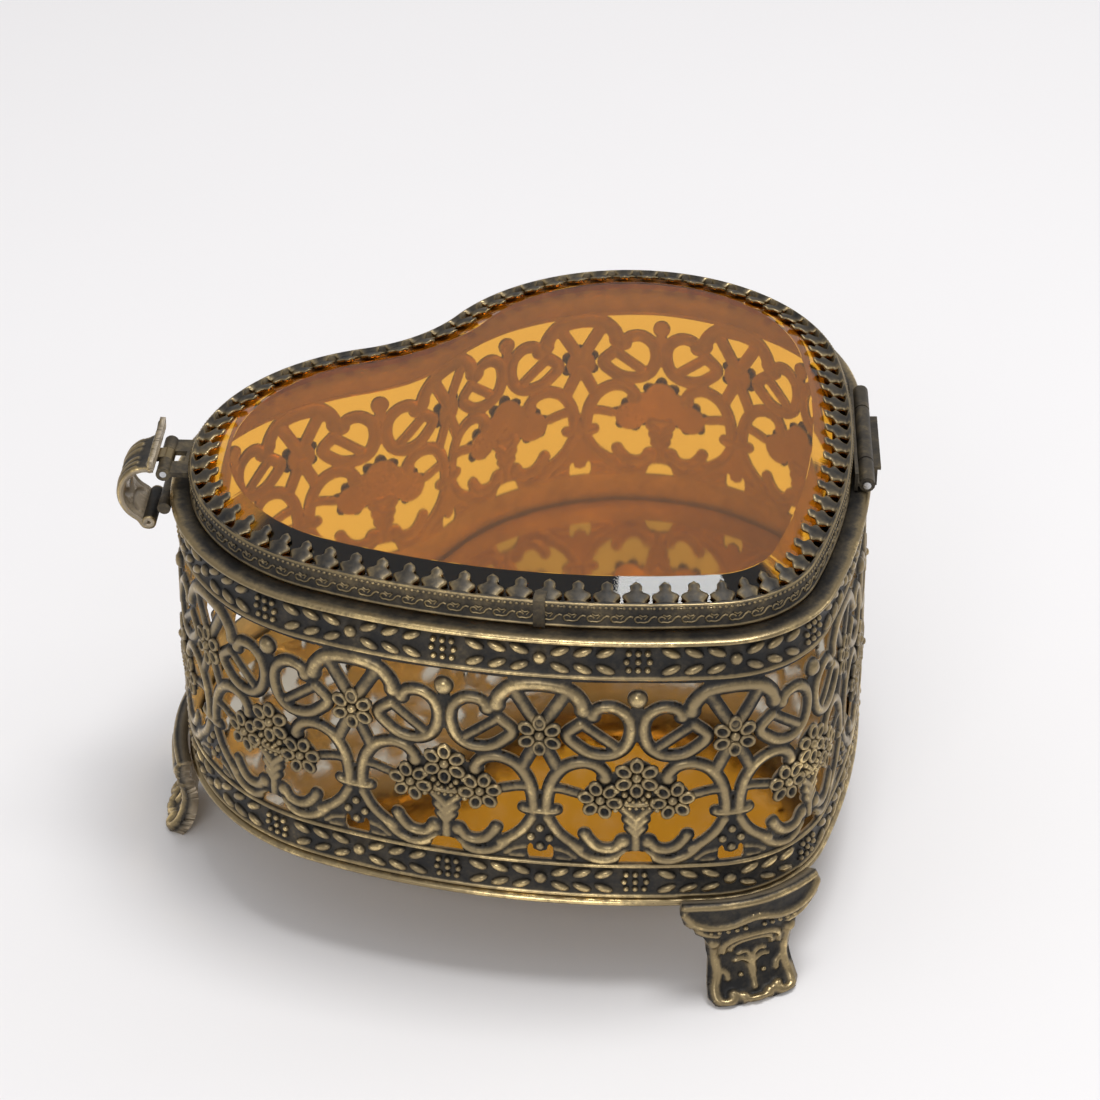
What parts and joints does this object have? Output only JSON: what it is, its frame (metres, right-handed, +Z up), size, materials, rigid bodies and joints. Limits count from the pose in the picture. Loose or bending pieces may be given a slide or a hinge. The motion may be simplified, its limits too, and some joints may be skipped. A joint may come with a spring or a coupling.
{
  "type": "wind up music box",
  "caption": "Heart-shaped filigree brass casket with a hinged bevelled amber glass lid, hasp, three cast feet and a small wind-up music movement under the floor",
  "frame": {"origin": "Centre of the footprint, on the surface that the feet stand on.", "axes": "+Z is up. The heart is symmetric about the YZ plane before the fittings: its point is at -Y and its cleft at +Y. +X is the hinge side and -X the hasp side."},
  "size_m": [0.1166, 0.1074, 0.0704],
  "materials": {
    "antique_brass": "stamped and cast brass with a dark patina in the hollows and rubbed gold on the high edges",
    "plain_brass": "thin sheet brass, dull",
    "amber_glass": "clear amber glass, polished, with a wide bevel",
    "mirror_plate": "polished floor plate",
    "steel": "turned and hardened steel",
    "blued_steel": "blued spring steel",
    "nickel_plate": "nickel-plated, satin",
    "movement_brass": "machined brass"
  },
  "bodies": {
    "case": {"filigree_wall": "antique_brass", "top_rail": "antique_brass", "base_rail": "antique_brass", "base_pan": "plain_brass", "floor_mirror": "mirror_plate", "front_foot": "antique_brass", "left_foot": "antique_brass", "right_foot": "antique_brass", "case_hinge_leaf": "antique_brass", "hinge_pin": "steel", "catch_barrel": "antique_brass", "bedplate": "nickel_plate", "movement_screws": "steel", "drum_bridge": "nickel_plate", "drive_bearing": "nickel_plate", "end_bearing": "nickel_plate", "comb": "steel", "comb_base": "nickel_plate", "comb_screws": "steel", "governor_bearing_inner": "nickel_plate", "governor_bearing_outer": "nickel_plate", "fly_bracket": "nickel_plate", "lever_pin": "steel"},
    "lid": {"gallery_band": "antique_brass", "lid_seat_ring": "plain_brass", "lid_glass": "amber_glass", "gallery_clip": "antique_brass", "lid_hinge_leaf": "antique_brass", "hasp_bracket": "antique_brass", "hasp_pin": "steel"},
    "hasp": {"hasp": "antique_brass"},
    "key": {"winding_arbor": "steel", "winding_key": "movement_brass"},
    "drum": {"spring_drum": "nickel_plate", "crown_gear": "movement_brass", "mainspring": "blued_steel"},
    "cylinder": {"cylinder_arbor": "steel", "pin_cylinder": "movement_brass", "cylinder_drive_gear": "movement_brass", "cylinder_end_gear": "movement_brass"},
    "governor": {"governor_arbor": "steel", "governor_pinion": "movement_brass", "governor_wheel": "movement_brass"},
    "fly": {"governor_fly": "steel"},
    "stop_lever": {"stop_lever": "steel"}
  },
  "joints": [
    {"name": "lid_hinge", "type": "hinge", "parent": "case", "child": "lid", "pos_m": [0.04024, -0.01666, 0.06555], "axis": [0.6293, 0.7771, 0], "range_deg": [0, 100]},
    {"name": "hasp_hinge", "type": "hinge", "parent": "lid", "child": "hasp", "pos_m": [-0.04975, 0.04052, 0.0668], "axis": [0.6293, 0.7771, 0], "range_deg": [0, 70]},
    {"name": "key_turn", "type": "hinge", "parent": "case", "child": "key", "pos_m": [-0.011, 0.01298, 0.01], "axis": [0, 0, -1], "continuous": true},
    {"name": "drum_turn", "type": "hinge", "parent": "case", "child": "drum", "pos_m": [-0.011, 0.01298, 0.012], "axis": [0, 0, 1], "continuous": true},
    {"name": "cylinder_turn", "type": "hinge", "parent": "case", "child": "cylinder", "pos_m": [0.0065, 0.01298, 0.0121], "axis": [1, 0, 0], "continuous": true},
    {"name": "governor_turn", "type": "hinge", "parent": "case", "child": "governor", "pos_m": [0.0155, 0.00798, 0.0121], "axis": [1, 0, 0], "continuous": true},
    {"name": "fly_turn", "type": "hinge", "parent": "case", "child": "fly", "pos_m": [0.0179, 0.00378, 0.0105], "axis": [0, 0, 1], "continuous": true},
    {"name": "stop_lever_swing", "type": "hinge", "parent": "case", "child": "stop_lever", "pos_m": [0.0109, 0.00253, 0.0091], "axis": [0, 0, 1], "range_deg": [0, 16]}
  ],
  "couplings": [
    {"joint": "cylinder_turn", "follows": "drum_turn", "ratio": 2.4444},
    {"joint": "governor_turn", "follows": "drum_turn", "ratio": -4.8889},
    {"joint": "fly_turn", "follows": "drum_turn", "ratio": -48.889}
  ]
}
